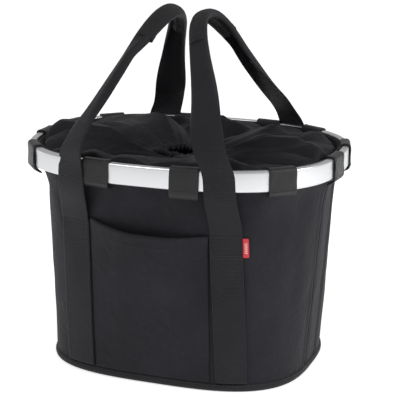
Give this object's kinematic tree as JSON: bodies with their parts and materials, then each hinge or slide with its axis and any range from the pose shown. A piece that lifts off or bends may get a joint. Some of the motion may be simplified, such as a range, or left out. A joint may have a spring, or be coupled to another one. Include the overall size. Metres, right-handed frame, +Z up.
{
  "type": "handlebar basket",
  "caption": "Fabric handlebar basket on an oval aluminium rim, with a gathered cover, two webbing handles, a front pocket and a rear plate for a handlebar bracket.",
  "frame": {"origin": "on the floor, under the middle of the rim", "axes": "+Z up; -Y is the front with the pocket; +Y is the handlebar side with the mounting plate; +X is to the right seen from the front"},
  "size_m": [0.3646, 0.296, 0.4103],
  "materials": {
    "rim_aluminium": "satin anodised",
    "tub_cloth": "coated plain-weave polyester",
    "cover_cloth": "soft light polyester",
    "tab_cloth": "doubled polyester cloth",
    "binding_cloth": "ribbed binding tape",
    "webbing": "ribbed polyester webbing",
    "grip_webbing": "ribbed polyester webbing, sewn to a grip",
    "label_cloth": "woven satin ribbon",
    "board_plastic": "matt extruded sheet",
    "plate_plastic": "fine moulded grain",
    "backing_aluminium": "mill finish",
    "steel": "zinc plated",
    "elastic": "braided elastic"
  },
  "bodies": {
    "tub": {"rim_tube": "rim_aluminium", "rim_joiner": "rim_aluminium", "rim_rivets": "steel", "front_wall": "tub_cloth", "back_wall": "tub_cloth", "end_strip_left": "tub_cloth", "end_strip_right": "tub_cloth", "wall_collar": "tub_cloth", "floor_cloth": "tub_cloth", "floor_board": "board_plastic", "base_binding": "binding_cloth", "pocket_panel": "tub_cloth", "pocket_hem": "tub_cloth", "gathered_cover": "cover_cloth", "cover_hem": "cover_cloth", "hem_elastic": "elastic", "side_label": "label_cloth", "mount_plate": "plate_plastic", "back_board": "board_plastic", "backing_plate": "backing_aluminium", "mount_screws": "steel", "mount_washers": "steel", "mount_nuts": "steel", "rim_tab_front_left": "tab_cloth", "rim_tab_front_middle": "tab_cloth", "rim_tab_front_right": "tab_cloth", "rim_tab_right_front": "tab_cloth", "rim_tab_right_rear": "tab_cloth", "rim_tab_back_right": "tab_cloth", "rim_tab_back_inner_right": "tab_cloth", "rim_tab_back_inner_left": "tab_cloth", "rim_tab_back_left": "tab_cloth", "rim_tab_left_rear": "tab_cloth", "rim_tab_left_middle": "tab_cloth", "rim_tab_left_front": "tab_cloth", "strap_front_left": "webbing", "strap_front_right": "webbing", "strap_back_left": "webbing", "strap_back_right": "webbing"},
    "handle_left": {"handle_webbing_left": "webbing", "handle_grip_left": "grip_webbing"},
    "handle_right": {"handle_webbing_right": "webbing", "handle_grip_right": "grip_webbing"}
  },
  "joints": [
    {"name": "handle_left_swing", "type": "hinge", "parent": "tub", "child": "handle_left", "pos_m": [-0.0845, 0, 0.258], "axis": [0, -1, 0], "range_deg": [-3, 75]},
    {"name": "handle_right_swing", "type": "hinge", "parent": "tub", "child": "handle_right", "pos_m": [0.0845, 0, 0.258], "axis": [0, 1, 0], "range_deg": [-1.5, 75]}
  ]
}
